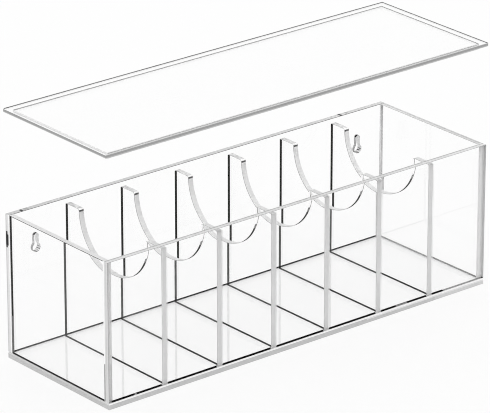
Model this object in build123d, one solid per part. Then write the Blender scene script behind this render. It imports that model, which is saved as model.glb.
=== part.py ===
"""Clear acrylic organizer box: seven fixed compartments, keyhole hangers in the back, and a two-plate lift-off lid.

Origin: centre of the underside. X runs along the length, Y from front to back, Z up. Millimetres.
The lid is drawn raised straight above the box.
"""

import os

from build123d import *

# Box
box_length = 400.0
box_width = 133.0
box_height = 126.0
wall_thickness = 5.0
base_thickness = 5.0
bond_line = 0.05
edge_break = 0.3
joint_bevel = 0.75
near = 0.01

# Dividers
compartment_count = 7
divider_thickness = 5.0
divider_drop = 3.5
tab_length = 18.5
tab_corner_radius = 2.0

# Keyhole hangers in the back wall
keyhole_from_end = 30.0
keyhole_entry_radius = 4.0
keyhole_slot_width = 4.4
keyhole_entry_height = 91.2
keyhole_slot_rise = 12.5

# Lid
lid_plate_thickness = 3.0
locating_plate_thickness = 3.0
locating_clearance = 0.5
lid_seat_gap = 0.1
lid_travel = 86.9
lid_corner_radius = 1.0

# Worked out from the sizes above
inner_length = box_length - 2 * wall_thickness
inner_width = box_width - 2 * wall_thickness
cross_width = inner_width - 2 * bond_line
wall_bottom = base_thickness + bond_line
divider_top = box_height - divider_drop
pitch = (inner_length + divider_thickness) / compartment_count
keyhole_x = box_length / 2 - keyhole_from_end
scoop_radius = inner_width / 2 - tab_length
lid_underside = box_height + lid_seat_gap + lid_travel
locating_plate_top = lid_underside - bond_line


def is_cemented(edge):
    """True for an edge of the box's sheets that lies along a joint: not one on the rim, below the base's
    upper face, or up one of the box's four outer corners."""
    middle = edge.center()
    on_rim = middle.Z > box_height - near
    low_on_base = middle.Z < base_thickness - near
    outer_corner = middle.Z > wall_bottom + near and abs(middle.Y) > box_width / 2 - near
    return not (on_rim or low_on_base or outer_corner)


def plate(length, width, height, centre_x, centre_y, bottom):
    """A flat sheet standing on the height called bottom. Its free edges are lightly broken, and the edges
    that lie along a joint have a wider bevel."""
    sheet = Pos(centre_x, centre_y, bottom + height / 2) * Box(length, width, height)
    joint_edges = [edge for edge in sheet.edges() if is_cemented(edge)]
    free_edges = [edge for edge in sheet.edges() if not is_cemented(edge)]
    return chamfer(free_edges, edge_break) & chamfer(joint_edges, joint_bevel)


def lid_sheet(length, width, thickness, bottom):
    """A level sheet of the lid with softened corners and broken edges."""
    outline = RectangleRounded(length, width, lid_corner_radius)
    sheet = Pos(0, 0, bottom) * extrude(outline, thickness)
    flat_faces = sheet.faces().filter_by(Axis.Z)
    return chamfer(flat_faces.edges(), edge_break)


def base_panel():
    return plate(box_length, box_width, base_thickness, 0, 0, 0)


def long_wall(centre_y):
    """Front or back wall: as long as the box, with its ends in view."""
    return plate(box_length, wall_thickness, box_height - wall_bottom, 0, centre_y, wall_bottom)


def cross_sheet(thickness, centre_x):
    """Sheet that butts between the front and back walls, from the base up to the rim."""
    return plate(thickness, cross_width, box_height - wall_bottom, centre_x, 0, wall_bottom)


def keyhole(centre_x):
    """Round entry with a narrow slot rising from it, cut right through the back wall."""
    entry = Circle(keyhole_entry_radius)
    slot_end_radius = keyhole_slot_width / 2
    slot_straight = keyhole_slot_rise - slot_end_radius
    slot = Pos(0, slot_straight / 2) * Rectangle(keyhole_slot_width, slot_straight)
    slot_end = Pos(0, slot_straight) * Circle(slot_end_radius)
    outline = entry + slot + slot_end
    place = Plane(
        origin=(centre_x, inner_width / 2 + wall_thickness / 2, keyhole_entry_height),
        x_dir=(1, 0, 0),
        z_dir=(0, -1, 0),
    )
    return extrude(place * outline, wall_thickness, both=True)


def back_panel():
    panel = long_wall(inner_width / 2 + wall_thickness / 2)
    for side in (-1, 1):
        panel -= keyhole(side * keyhole_x)
    return panel


def divider(number):
    """Upright divider: a half-round scoop between a front tab and a back tab, with round tab corners."""
    height = divider_top - wall_bottom
    outline = Pos(0, wall_bottom + height / 2) * Rectangle(cross_width, height)
    scoop = Pos(0, divider_top) * Circle(scoop_radius)
    profile = outline - scoop
    tab_corners = profile.vertices().group_by(Axis.Y)[-1]
    profile = fillet(tab_corners, tab_corner_radius)
    left_face_x = -inner_length / 2 + number * pitch - divider_thickness
    place = Plane(origin=(left_face_x, 0, 0), x_dir=(0, 1, 0), z_dir=(1, 0, 0))
    upright = extrude(place * profile, divider_thickness)
    side_faces = upright.faces().filter_by(Axis.X)
    upright = chamfer(side_faces.edges(), edge_break)
    return upright & cross_sheet(divider_thickness, left_face_x + divider_thickness / 2)


def lid_plate():
    return lid_sheet(box_length, box_width, lid_plate_thickness, lid_underside)


def lid_locating_plate():
    """Lower lid plate: drops between the walls with a small clearance all round."""
    length = inner_length - 2 * locating_clearance
    width = inner_width - 2 * locating_clearance
    bottom = locating_plate_top - locating_plate_thickness
    return lid_sheet(length, width, locating_plate_thickness, bottom)


def pieces():
    wall_centre_y = inner_width / 2 + wall_thickness / 2
    wall_centre_x = inner_length / 2 + wall_thickness / 2
    made = {
        "base_panel": base_panel(),
        "front_panel": long_wall(-wall_centre_y),
        "back_panel": back_panel(),
        "left_end_panel": cross_sheet(wall_thickness, -wall_centre_x),
        "right_end_panel": cross_sheet(wall_thickness, wall_centre_x),
        "lid_plate": lid_plate(),
        "lid_locating_plate": lid_locating_plate(),
    }
    for number in range(1, compartment_count):
        made[f"divider_{number}"] = divider(number)
    return made


os.makedirs("parts", exist_ok=True)
for name, piece in pieces().items():
    export_step(piece, f"parts/{name}.step")
    print(name, round(piece.volume, 1))
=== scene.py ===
"""Looks of the clear acrylic organizer box: polished sheets, pale cut edges and dark cemented joints.

The values below are in millimetres and are turned into metres where they are used.
Tones are linear: 0 is black and 1 is white.
"""

from dataclasses import dataclass, field
from math import cos, pi, radians

import bmesh
import bpy
from mathutils import Euler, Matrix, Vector


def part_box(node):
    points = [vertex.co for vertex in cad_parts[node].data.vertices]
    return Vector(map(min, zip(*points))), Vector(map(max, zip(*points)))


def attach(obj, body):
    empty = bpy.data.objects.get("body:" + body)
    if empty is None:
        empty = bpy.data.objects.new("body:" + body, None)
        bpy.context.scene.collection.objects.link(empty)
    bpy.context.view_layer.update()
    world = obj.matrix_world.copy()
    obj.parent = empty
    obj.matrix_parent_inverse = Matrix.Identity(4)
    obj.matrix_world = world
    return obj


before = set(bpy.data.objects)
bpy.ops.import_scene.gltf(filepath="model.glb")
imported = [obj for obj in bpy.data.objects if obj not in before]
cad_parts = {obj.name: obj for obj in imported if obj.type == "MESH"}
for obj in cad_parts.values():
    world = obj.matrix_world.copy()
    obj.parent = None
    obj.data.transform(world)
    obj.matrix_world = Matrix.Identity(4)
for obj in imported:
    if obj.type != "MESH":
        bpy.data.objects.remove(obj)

MM = 0.001
AXES = "XYZ"

# Camera: a long lens from the left front, a little above the lid
lens_length = 315.2
sensor_width = 36.0
clip_distance = 100000.0
camera_place = Vector((-2078.3, -2503.6, 1418.2))
camera_target = Vector((61.4, 81.3, 60.0))

# Light: a white room, with a soft lamp high on the left
room_share = 0.9
lamp_share = 0.1
lamp_tilt = radians(40)
lamp_turn = radians(-50)
lamp_softness = radians(60)

# Rendering: what is seen through many sheets needs many bounces
light_bounces = 64
pixel_filter_width = 1.0

# Floor
floor_half_size = 6000.0
floor_drop = 0.2
floor_tone = 0.95
shadow_share = 0.15

# Clear acrylic
acrylic_ior = 1.49
acrylic_gloss = 0.05
acrylic_tint = 0.995
tint_unevenness = 0.004
ripple_size = 30.0
ripple_height = 0.004

# Cut edges: short streaks left by the saw, and slow changes along the edge
streak_size = 1.2
streak_stretch = 0.15
streak_tone = 0.05
streak_height = 0.01
mottle_size = 14.0
mottle_tone = 0.05
noise_middle = 0.5
edge_roughness = 0.3
edge_gloss = 0.2

# Kinds of face: how far a polygon faces along an axis, and how far it lies inside the sheet's outline
broad_face_from = 0.95
facing_from = 0.35
joint_reach = 0.6
cutout_from = 1.0

# Rounded tab corners: how far down they reach, and where the upper part, a painted highlight, gives way to
# the lower part, painted shade
tab_corner_reach = 2.0
tab_corner_flat = 0.97
tab_corner_turn = 0.42

# Tones of the narrow faces and arrises, seen from outside and seen through the sheet. Seen from outside, the
# high corners and joint arrises are white as painted highlights, and the low corners and plain arrises are
# dark as painted shade. Seen through the sheet, the tones are painted reflections standing in for total
# internal reflection, and black on the cemented joints.
tones_outside = {
    "edge": 0.68,
    "arris": 0.38,
    "joint": 0.9,
    "joint arris": 0.98,
    "cutout": 0.84,
    "cutout arris": 0.5,
    "high corner": 0.98,
    "low corner": 0.1,
}
tones_within = {
    "edge": 0.25,
    "arris": 0.25,
    "joint": 0.0,
    "joint arris": 0.0,
    "cutout": 0.1,
    "cutout arris": 0.1,
    "high corner": 0.5,
    "low corner": 0.0,
}

# Kinds that shine a little. Their faces are named by the way that they face alone
glossy_kinds = ("edge", "arris")

# Marks: how soft their ends are, how their speckles look, and how far past the box the open-ended ones reach
mark_softness = 0.4
speckle_size = 0.9
speckle_contrast = 6.0
past_left = -201.0
past_right = 201.0
low_part = ("Z", 0.0, 38.0)

# Marks on the base: its front face turns paler to the right, and a painted highlight runs along the top of
# that face's right part
base_paler_end = ("X", 145.0, past_right)
base_highlight_half = ("X", 70.0, past_right)
base_highlight_band = ("Z", 3.1, 5.2)

# Marks on the front wall: a fine line up its left end and one along its rim, and where the line at its foot
# is grey or breaks off instead of being black
front_end_line = ("Y", -64.4, -63.8)
front_rim_line = ("Y", -63.3, -62.1)
foot_line_start = ("X", past_left, -195.5)
foot_line_nick = ("X", -172.5, -170.5)
foot_line_grey_stretch = ("X", 103.5, 116.0)
foot_cement_ends = 156.0
foot_line_end = ("X", foot_cement_ends, past_right)
line_gap_start = -1.4
line_gap_end = 4.6

# Marks on the back wall: reflections of the keyholes on its left end and on its rim
back_end_line = ("Y", 64.9, 65.5)
end_reflection = (("Y", 62.4, 65.8), ("Z", 99.5, 109.0))
end_reflection_core = (("Y", 63.6, 65.6), ("Z", 97.5, 111.5))
left_rim_reflection = (("X", -187.2, -184.8), ("Y", 61.6, 65.6))
right_rim_reflection = (("X", 150.2, 152.5), ("Y", 61.8, 66.2))
rim_smear_width = ("Y", 62.4, 66.0)
left_rim_smear = ("X", -183.0, -179.0)
right_rim_smear = ("X", 157.4, 160.4)

# Marks in the keyholes: painted shade at the foot of the round entries, a pale far side that is a painted
# highlight, and painted shade as a dark dot at the slot's top
entry_foot_shade = ("Z", 80.0, 90.0)
entry_lower_shade = ("Z", 80.0, 91.0)
whole_entry = ("Z", 80.0, 95.0)
slot_top_shade_depth = ("Y", 61.0, 64.5)
slot_shoulder_shade = (("Y", 61.0, 65.5), ("Z", 101.9, 105.0))

# Marks on the end walls: a painted highlight at the rear left joint, and fine lines on the right rim and
# joint
left_joint_highlight = ("X", past_left, -198.0)
right_rim_line = ("X", 197.5, 198.5)
right_joint_line = ("X", 198.2, 198.9)

# Marks on the lid's two plates: fine lines along their edges
lid_low_band = ("Z", 212.0, 213.9)
locating_end_line = ("Z", 211.5, 211.9)
locating_front_line = ("Z", 211.9, 212.5)

# Marks on the dividers: painted shade along the dark lower edge of a tab's corner, a painted highlight on
# the upper scoop, and the rear tab's top
tab_corner_shade_line = ("Z", 119.95, 120.6)
scoop_upper_highlight = ("Z", 102.5, 112.0)
rear_tab_top = ("Y", 42.0, 62.0)

# Cement squeezed out on the inside of the joints, and its tones
cement_gap = 0.03
cement_stops_short = 0.3
foot_cement_room = 0.5
corner_cement = 1.0
left_corner_cement = 0.6
back_corner_cement = 0.5
divider_cement = 0.4
far_side_cement = 0.2
foot_cement = 0.4
foot_cement_height = 1.1
corner_cement_tone = 0.98
back_corner_cement_tone = 0.8
divider_cement_tone = 0.75
far_side_cement_tone = 0.95
foot_cement_tone = 0.0


@dataclass(frozen=True)
class Mark:
    """A soft-edged patch of another tone on the narrow faces of one kind. It has bounds along some axes."""

    faces: str
    tone: float
    bounds: tuple
    within: bool = False
    speckled: bool = False


def mark(faces, tone, *bounds, within=False, speckled=False):
    return Mark(faces, tone, bounds, within, speckled)


def foot_line_marks(tone, stretch):
    """Another tone for a stretch of the line at the front wall's foot, on the joint and on its bevel."""
    return (
        mark("joint -Z", tone, stretch, within=True),
        mark("joint arris +Y-Z", tone, stretch, within=True),
    )


@dataclass
class Sheet:
    """One acrylic sheet: how it lies, where it is cemented, and where its tones differ from the usual ones.

    Faces are named by their kind, or by the way that they face, such as +Z for the rim and -X+Z for the
    arris on its left. Along a joint and round a cut-out the kind comes first, as in joint -Z. The faces
    named in clear are polished like the broad faces."""

    thin: str
    cemented: tuple = ()
    outside: dict = field(default_factory=dict)
    within: dict = field(default_factory=dict)
    marks: tuple = ()
    clear: tuple = ()


@dataclass
class Bead:
    """Cement squeezed out along the inside of a joint: a thin three-cornered rod, its legs on the sheets."""

    start: tuple
    end: tuple
    legs: tuple
    tone: float


# Tones that a sheet gives to faces by the way they face, and its white arrises, are painted highlights and
# painted shade, lit and shaded copies of one cut edge; its tones seen through the sheet are painted
# reflections, apart from the dark joints.
upright_joints = ("-Y", "+Y", "-Z")
sheets = {
    "base_panel": Sheet(
        "Z",
        outside={"edge": 0.58, "arris": 0.58, "-X+Z": 0.72, "-Y+Z": 0.95},
        marks=(
            mark("-Y", 0.66, base_paler_end),
            # Painted highlight along the top of the front face's right part
            mark("-Y", 0.78, base_highlight_half, base_highlight_band),
            mark("-Y-Z", 0.8, base_paler_end),
        ),
    ),
    "front_panel": Sheet(
        "Y",
        cemented=("-Z",),
        outside={"+Z": 0.8, "-Y+Z": 0.48, "+Y+Z": 0.15, "-X": 0.72, "-X+Y": 0.98},
        within={"edge": 0.6, "arris": 0.8, "+X": 0.95},
        marks=(
            mark("-X", 0.58, front_end_line),
            mark("-X+Y", 0.55, low_part),
            mark("+Z", 0.5, front_rim_line),
            *foot_line_marks(0.6, foot_line_nick),
            *foot_line_marks(0.42, foot_line_grey_stretch),
            *foot_line_marks(0.7, foot_line_start),
            *foot_line_marks(0.5, foot_line_end),
        ),
    ),
    "back_panel": Sheet(
        "Y",
        cemented=("-Z",),
        outside={"edge": 0.62, "-Y+Z": 0.15, "-X": 0.76, "-X-Y": 0.98, "+X-Y": 0.98, "cutout": 0.93},
        within={"joint": 0.15, "cutout": 0.98, "cutout arris": 0.55},
        marks=(
            mark("-X", 0.5, back_end_line),
            mark("-X", 0.0, *end_reflection),
            mark("-X", 0.0, *end_reflection_core),
            mark("+Z", 0.0, *left_rim_reflection),
            mark("+Z", 0.0, *right_rim_reflection),
            mark("+Z", 0.42, left_rim_smear, rim_smear_width),
            mark("+Z", 0.42, right_rim_smear, rim_smear_width),
            # Painted shade at the foot of the entries and as a dark dot at the slot's top, and a painted
            # highlight on the far side
            mark("cutout +Z", 0.15, entry_foot_shade, speckled=True),
            mark("cutout -X+Z", 0.15, entry_foot_shade, speckled=True),
            mark("cutout -X", 0.3, entry_lower_shade, speckled=True),
            mark("cutout -Z", 0.0, slot_top_shade_depth, within=True),
            mark("cutout +X-Z", 0.0, *slot_shoulder_shade, within=True),
            mark("cutout +X", 0.8, whole_entry, within=True),
            mark("cutout +X+Z", 0.7, whole_entry, within=True),
            mark("cutout +X-Z", 0.7, whole_entry, within=True),
        ),
    ),
    "left_end_panel": Sheet(
        "X",
        cemented=upright_joints,
        outside={"+Z": 0.82, "-X+Z": 0.05, "+X+Z": 0.2, "joint arris -X-Z": 0.6},
        marks=(
            # The front joint's arrises, white as painted highlights, are greyer low down; the rear joint has
            # a painted highlight on its outer part and is grey rather than black low down
            mark("joint arris +X-Y", 0.5, low_part),
            mark("joint arris -X-Y", 0.45, low_part),
            mark("joint +Y", 0.9, left_joint_highlight, within=True),
            mark("joint +Y", 0.3, low_part, within=True),
            mark("joint arris +X+Y", 0.3, low_part, within=True),
        ),
    ),
    "right_end_panel": Sheet(
        "X",
        cemented=upright_joints,
        outside={"+Z": 0.68, "-X+Z": 0.55, "+X+Z": 0.3, "joint -Y": 1.0},
        within={
            "joint": 0.48,
            "joint arris": 0.48,
            "joint +Y": 1.0,
            "joint arris -X+Y": 1.0,
            "joint arris +X+Y": 1.0,
        },
        marks=(mark("+Z", 0.5, right_rim_line), mark("joint -Y", 0.78, right_joint_line)),
    ),
    "lid_plate": Sheet(
        "Z",
        outside={"edge": 0.34, "arris": 0.7, "-X+Z": 0.98, "-Y+Z": 0.62, "-X-Z": 0.6, "-Y-Z": 0.6},
        within={"edge": 0.2, "arris": 0.2},
        marks=(mark("-Y", 0.5, lid_low_band), mark("-X", 0.5, lid_low_band)),
    ),
    "lid_locating_plate": Sheet(
        "Z",
        outside={"edge": 0.8, "arris": 0.8, "-X": 0.92, "-Y": 0.66},
        within={"edge": 0.15, "arris": 0.15},
        marks=(mark("-X", 0.6, locating_end_line), mark("-Y", 0.28, locating_front_line)),
    ),
}
for node_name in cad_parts:
    if node_name.startswith("divider"):
        sheets[node_name] = Sheet(
            "X",
            cemented=upright_joints,
            outside={"edge": 0.8, "arris": 0.55},
            within={"cutout arris -X+Y": 0.8, "cutout arris +X+Y": 0.8},
            clear=("cutout +Y", "low corner +Y", "low corner +Y+Z", "high corner +Y+Z"),
            marks=(
                # Painted shade under a tab's corner and a painted highlight on the upper scoop
                mark("cutout -Y", 0.1, tab_corner_shade_line),
                mark("cutout +Y+Z", 0.97, scoop_upper_highlight, within=True),
                mark("+Z", 0.6, rear_tab_top, speckled=True),
            ),
        )
        # The dark line along the foot of the front wall breaks off where a divider meets it
        divider_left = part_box(node_name)[0][0] / MM
        line_gap = ("X", divider_left + line_gap_start, divider_left + line_gap_end)
        sheets["front_panel"].marks += foot_line_marks(0.75, line_gap)


def upright_bead(x, y, toward_x, toward_y, size, top, tone):
    """Cement up an inside corner. It starts on the base and has one leg along X and one along Y."""
    x += toward_x * cement_gap
    y += toward_y * cement_gap
    legs = ((toward_x * size, 0.0, 0.0), (0.0, toward_y * size, 0.0))
    return Bead((x, y, wall_bottom + cement_gap), (x, y, top - cement_stops_short), legs, tone)


def foot_bead(left, right):
    """Black cement along the foot of the front wall, between the cement of two upright joints."""
    y = inner_front + cement_gap
    z = base_top + cement_gap
    legs = ((0.0, foot_cement, 0.0), (0.0, 0.0, foot_cement_height))
    return Bead((left + foot_cement_room, y, z), (right - foot_cement_room, y, z), legs, foot_cement_tone)


base_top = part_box("base_panel")[1][2] / MM
wall_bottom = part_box("front_panel")[0][2] / MM
inner_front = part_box("front_panel")[1][1] / MM
inner_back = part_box("back_panel")[0][1] / MM
inner_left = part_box("left_end_panel")[1][0] / MM
inner_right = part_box("right_end_panel")[0][0] / MM
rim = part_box("front_panel")[1][2] / MM


def cement_beads():
    """The cement in three corners, beside the front of each divider, and along the foot of each bay."""
    beads = [
        upright_bead(inner_left, inner_front, 1, 1, left_corner_cement, rim, corner_cement_tone),
        upright_bead(inner_right, inner_front, -1, 1, corner_cement, rim, corner_cement_tone),
        upright_bead(inner_right, inner_back, -1, -1, back_corner_cement, rim, back_corner_cement_tone),
    ]
    dividers = [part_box(node_name) for node_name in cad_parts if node_name.startswith("divider")]
    bay_start = inner_left
    for divider_low, divider_high in sorted(dividers, key=lambda box: box[0][0]):
        left = divider_low[0] / MM
        right = divider_high[0] / MM
        top = divider_high[2] / MM
        beads.append(upright_bead(left, inner_front, -1, 1, divider_cement, top, divider_cement_tone))
        beads.append(upright_bead(right, inner_front, 1, 1, far_side_cement, top, far_side_cement_tone))
        beads.append(foot_bead(bay_start, left))
        bay_start = right
    beads.append(foot_bead(bay_start, foot_cement_ends))
    return beads


def set_input(tree, socket, value):
    """Joins a node's output to the socket, or sets the socket's own value."""
    if isinstance(value, bpy.types.NodeSocket):
        tree.links.new(value, socket)
    else:
        socket.default_value = value


def add_math(tree, operation, first, second=0.0):
    node = tree.nodes.new("ShaderNodeMath")
    node.operation = operation
    set_input(tree, node.inputs[0], first)
    set_input(tree, node.inputs[1], second)
    return node.outputs[0]


def mix_values(tree, share, first, second):
    node = tree.nodes.new("ShaderNodeMix")
    set_input(tree, node.inputs["Factor"], share)
    set_input(tree, node.inputs["A"], first)
    set_input(tree, node.inputs["B"], second)
    return node.outputs[0]


def mix_shaders(tree, share, first, second):
    node = tree.nodes.new("ShaderNodeMixShader")
    set_input(tree, node.inputs[0], share)
    tree.links.new(first, node.inputs[1])
    tree.links.new(second, node.inputs[2])
    return node.outputs[0]


def grey(tree, tone):
    node = tree.nodes.new("ShaderNodeCombineColor")
    for channel in range(3):
        set_input(tree, node.inputs[channel], tone)
    return node.outputs[0]


def add_noise(tree, size, stretched_axis=None, detail=2.0):
    """Noise between 0 and 1 that is fixed to the part. Its lumps are about as large as size."""
    place = tree.nodes.new("ShaderNodeTexCoord").outputs["Object"]
    scaled = tree.nodes.new("ShaderNodeVectorMath")
    scaled.operation = "MULTIPLY"
    tree.links.new(place, scaled.inputs[0])
    scales = [1 / (size * MM)] * 3
    if stretched_axis:
        scales[AXES.index(stretched_axis)] *= streak_stretch
    scaled.inputs[1].default_value = scales
    noise = tree.nodes.new("ShaderNodeTexNoise")
    noise.inputs["Scale"].default_value = 1.0
    noise.inputs["Detail"].default_value = detail
    tree.links.new(scaled.outputs[0], noise.inputs["Vector"])
    return noise.outputs[0]


def add_change(tree, noise, most):
    """Turns noise into a change of tone. Most is the largest change either way, as a share of the tone."""
    return add_math(tree, "MULTIPLY", add_math(tree, "SUBTRACT", noise, noise_middle), 2 * most)


def add_window(tree, value, low, high):
    """1 between the two bounds, 0 outside them, with soft ends. The bounds are in millimetres."""
    above = add_math(tree, "MULTIPLY_ADD", value, 1 / (mark_softness * MM))
    above.node.inputs[2].default_value = 0.5 - low / mark_softness
    below = add_math(tree, "MULTIPLY_ADD", value, -1 / (mark_softness * MM))
    below.node.inputs[2].default_value = 0.5 + high / mark_softness
    above.node.use_clamp = True
    below.node.use_clamp = True
    return add_math(tree, "MULTIPLY", above, below)


def add_mask(tree, patch):
    """1 on the mark and 0 off it."""
    place = tree.nodes.new("ShaderNodeTexCoord").outputs["Object"]
    split = tree.nodes.new("ShaderNodeSeparateXYZ")
    tree.links.new(place, split.inputs[0])
    mask = 1.0
    for axis, low, high in patch.bounds:
        mask = add_math(tree, "MULTIPLY", add_window(tree, split.outputs[axis], low, high), mask)
    if patch.speckled:
        speckles = add_noise(tree, speckle_size, stretched_axis="Y")
        speckle = add_math(tree, "MULTIPLY_ADD", speckles, speckle_contrast)
        speckle.node.inputs[2].default_value = 0.5 - speckle_contrast / 2
        speckle.node.use_clamp = True
        mask = add_math(tree, "MULTIPLY", mask, speckle)
    return mask


def add_bump(tree, height, depth):
    node = tree.nodes.new("ShaderNodeBump")
    node.inputs["Strength"].default_value = 1.0
    node.inputs["Distance"].default_value = depth * MM
    tree.links.new(height, node.inputs["Height"])
    return node.outputs[0]


def new_material(name):
    material = bpy.data.materials.new(name)
    material.use_nodes = True
    material.node_tree.nodes.clear()
    return material


def show(material, shader):
    output = material.node_tree.nodes.new("ShaderNodeOutputMaterial")
    material.node_tree.links.new(shader, output.inputs["Surface"])


def clear_face_material():
    """Broad face: bends and mirrors, with the faint ripple of cast sheet. Lamps shine straight through."""
    material = new_material("clear_face")
    tree = material.node_tree
    ripple = add_noise(tree, ripple_size)
    tint = add_math(tree, "MULTIPLY_ADD", ripple, -tint_unevenness)
    tint.node.inputs[2].default_value = acrylic_tint + tint_unevenness / 2
    colour = grey(tree, tint)
    glass = tree.nodes.new("ShaderNodeBsdfPrincipled")
    tree.links.new(colour, glass.inputs["Base Color"])
    glass.inputs["Roughness"].default_value = 0.0
    glass.inputs["IOR"].default_value = acrylic_ior
    glass.inputs["Specular Tint"].default_value = (acrylic_gloss, acrylic_gloss, acrylic_gloss, 1.0)
    glass.inputs["Transmission Weight"].default_value = 1.0
    tree.links.new(add_bump(tree, ripple, ripple_height), glass.inputs["Normal"])
    clear = tree.nodes.new("ShaderNodeBsdfTransparent")
    tree.links.new(colour, clear.inputs["Color"])
    shadow_ray = tree.nodes.new("ShaderNodeLightPath").outputs["Is Shadow Ray"]
    show(material, mix_shaders(tree, shadow_ray, glass.outputs[0], clear.outputs[0]))
    return material


def edge_material(name, thin_axis, outside, within, gloss, marks):
    """Narrow face: one tone seen from outside, another seen through the sheet, which is a painted reflection
    except on the dark joints.
    """
    material = new_material(name)
    tree = material.node_tree
    streaks = add_noise(tree, streak_size, stretched_axis=thin_axis)
    mottle = add_noise(tree, mottle_size)
    quick_change = add_change(tree, streaks, streak_tone)
    slow_change = add_change(tree, mottle, mottle_tone)
    change = add_math(tree, "ADD", quick_change, slow_change)
    for patch in marks:
        mask = add_mask(tree, patch)
        if patch.within:
            within = mix_values(tree, mask, within, patch.tone)
        else:
            outside = mix_values(tree, mask, outside, patch.tone)
    from_behind = tree.nodes.new("ShaderNodeNewGeometry").outputs["Backfacing"]
    tone = mix_values(tree, from_behind, outside, within)
    tone = add_math(tree, "MULTIPLY", tone, add_math(tree, "ADD", change, 1.0))
    shader = tree.nodes.new("ShaderNodeBsdfPrincipled")
    tree.links.new(grey(tree, tone), shader.inputs["Base Color"])
    shader.inputs["Roughness"].default_value = edge_roughness
    shader.inputs["Specular IOR Level"].default_value = gloss
    tree.links.new(add_bump(tree, streaks, streak_height), shader.inputs["Normal"])
    show(material, shader.outputs[0])
    return material


def outline_distance(point, low, high, side):
    """How far a point lies inside one side of the sheet's box."""
    axis = AXES.index(side[1])
    return high[axis] - point[axis] if side[0] == "+" else point[axis] - low[axis]


def face_kind(polygon, sheet, low, high):
    """What kind of narrow face or arris a polygon is, and the way that it faces."""
    faces = ""
    for axis, part in zip(AXES, polygon.normal):
        if abs(part) > facing_from:
            faces += ("+" if part > 0 else "-") + axis
    arris = " arris" if sheet.thin in faces else ""
    sides = [sign + axis for sign in "-+" for axis in AXES if axis != sheet.thin]
    from_outline = {side: outline_distance(polygon.center, low, high, side) for side in sides}
    upward = polygon.normal.z
    if any(from_outline[side] < joint_reach * MM for side in sheet.cemented):
        return "joint" + arris, faces
    if sheet.thin == "X" and from_outline["+Z"] < tab_corner_reach * MM and upward < tab_corner_flat:
        if not arris:
            return ("high corner" if upward > tab_corner_turn else "low corner"), faces
    if min(from_outline.values()) > cutout_from * MM:
        return "cutout" + arris, faces
    return "arris" if arris else "edge", faces


def face_name(kind, faces):
    return faces if kind in glossy_kinds else kind + " " + faces


def look_up(usual, special, kind, named):
    """The tone for a kind of face, unless the sheet has one of its own for it."""
    return special.get(named, special.get(kind, usual[kind]))


def dress_sheet(name, sheet, clear_face):
    """Gives the sheet's broad faces, narrow faces and arrises their own materials."""
    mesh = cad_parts[name].data
    low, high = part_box(name)
    thin = AXES.index(sheet.thin)
    mesh.materials.clear()
    mesh.materials.append(clear_face)
    slots = {}
    for polygon in mesh.polygons:
        kind, faces = face_kind(polygon, sheet, low, high)
        named = face_name(kind, faces)
        if abs(polygon.normal[thin]) > broad_face_from or named in sheet.clear:
            polygon.material_index = 0
            continue
        marks = tuple(patch for patch in sheet.marks if patch.faces == named)
        outside = look_up(tones_outside, sheet.outside, kind, named)
        within = look_up(tones_within, sheet.within, kind, named)
        gloss = edge_gloss if kind in glossy_kinds else 0.0
        look = (outside, within, gloss, marks)
        if look not in slots:
            slots[look] = len(mesh.materials)
            mesh.materials.append(edge_material(f"{name}_edge_{len(slots)}", sheet.thin, *look))
        polygon.material_index = slots[look]


def add_beads():
    """All the cement in one piece, with one material for each tone."""
    made = bmesh.new()
    slots = {}
    for bead in cement_beads():
        slot = slots.setdefault(bead.tone, len(slots))
        ends = []
        for place in (bead.start, bead.end):
            corners = [Vector(place), *(Vector(place) + Vector(leg) for leg in bead.legs)]
            ends.append([made.verts.new(corner * MM) for corner in corners])
        first, last = ends
        sides = [first, last]
        for number in range(3):
            following = (number + 1) % 3
            sides.append([first[number], first[following], last[following], last[number]])
        for side in sides:
            made.faces.new(side).material_index = slot
    bmesh.ops.recalc_face_normals(made, faces=made.faces)
    mesh = bpy.data.meshes.new("cement")
    made.to_mesh(mesh)
    made.free()
    for tone, slot in slots.items():
        mesh.materials.append(edge_material(f"cement_{slot + 1}", "Y", tone, tone, 0.0, ()))
    cement = bpy.data.objects.new("cement", mesh)
    bpy.context.scene.collection.objects.link(cement)
    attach(cement, "box")


def add_camera():
    data = bpy.data.cameras.new("camera")
    data.lens = lens_length
    data.sensor_width = sensor_width
    data.clip_end = clip_distance * MM
    camera = bpy.data.objects.new("camera", data)
    bpy.context.scene.collection.objects.link(camera)
    camera.location = camera_place * MM
    camera.rotation_mode = "QUATERNION"
    camera.rotation_quaternion = (camera_target - camera_place).to_track_quat("-Z", "Y")
    bpy.context.scene.camera = camera


def seen_ray(tree):
    """1 for what is seen straight on, mirrored or through the acrylic, and 0 for light on a surface."""
    light_path = tree.nodes.new("ShaderNodeLightPath")
    seen = light_path.outputs["Is Camera Ray"]
    for name in ("Is Glossy Ray", "Is Transmission Ray"):
        seen = add_math(tree, "MAXIMUM", seen, light_path.outputs[name])
    return seen


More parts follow.
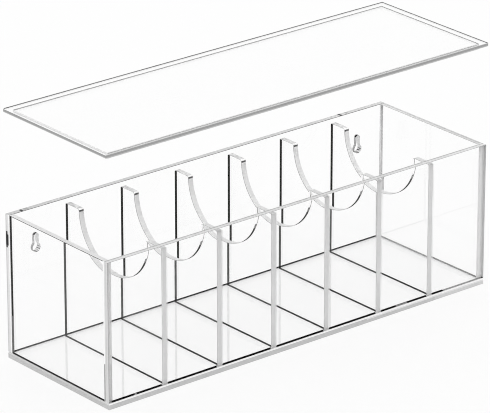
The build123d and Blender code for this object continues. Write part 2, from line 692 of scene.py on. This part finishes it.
def add_floor():
    """Pale matt floor just under the box. It looks white where nothing shades it."""
    reach = floor_half_size * MM
    height = -floor_drop * MM
    corner_signs = ((-1, -1), (1, -1), (1, 1), (-1, 1))
    corners = [(x * reach, y * reach, height) for x, y in corner_signs]
    mesh = bpy.data.meshes.new("floor")
    mesh.from_pydata(corners, [], [(0, 1, 2, 3)])
    floor = bpy.data.objects.new("floor", mesh)
    bpy.context.scene.collection.objects.link(floor)
    material = new_material("pale_floor")
    tree = material.node_tree
    matt = tree.nodes.new("ShaderNodeBsdfDiffuse")
    matt.inputs["Color"].default_value = (floor_tone, floor_tone, floor_tone, 1.0)
    white = tree.nodes.new("ShaderNodeEmission")
    white.inputs["Color"].default_value = (1.0, 1.0, 1.0, 1.0)
    share = add_math(tree, "MULTIPLY", seen_ray(tree), 1 - shadow_share)
    material.cycles.emission_sampling = "NONE"
    show(material, mix_shaders(tree, share, matt.outputs[0], white.outputs[0]))
    mesh.materials.append(material)


def add_room():
    """White on every side. On surfaces its light is a little weaker, which leaves room for the lamp."""
    world = bpy.data.worlds.new("room")
    bpy.context.scene.world = world
    world.use_nodes = True
    tree = world.node_tree
    tree.nodes.clear()
    background = tree.nodes.new("ShaderNodeBackground")
    background.inputs["Color"].default_value = (1.0, 1.0, 1.0, 1.0)
    tree.links.new(mix_values(tree, seen_ray(tree), room_share, 1.0), background.inputs["Strength"])
    output = tree.nodes.new("ShaderNodeOutputWorld")
    tree.links.new(background.outputs[0], output.inputs["Surface"])
    world.cycles.sampling_method = "NONE"


def add_lamp():
    """Broad soft lamp. It brings a level white surface from the room's share of light up to full."""
    data = bpy.data.lights.new("soft_lamp", "SUN")
    data.energy = lamp_share * pi / cos(lamp_tilt)
    data.angle = lamp_softness
    data.cycles.use_multiple_importance_sampling = False
    lamp = bpy.data.objects.new("soft_lamp", data)
    lamp.rotation_euler = Euler((lamp_tilt, 0.0, lamp_turn))
    bpy.context.scene.collection.objects.link(lamp)


def render_settings():
    scene = bpy.context.scene
    scene.view_settings.view_transform = "Standard"
    scene.cycles.max_bounces = light_bounces
    scene.cycles.transmission_bounces = light_bounces
    scene.cycles.glossy_bounces = light_bounces
    scene.cycles.transparent_max_bounces = light_bounces
    scene.cycles.filter_width = pixel_filter_width


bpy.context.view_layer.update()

clear_face = clear_face_material()
for sheet_name, sheet in sheets.items():
    dress_sheet(sheet_name, sheet, clear_face)
add_beads()
add_camera()
add_floor()
add_room()
add_lamp()
render_settings()
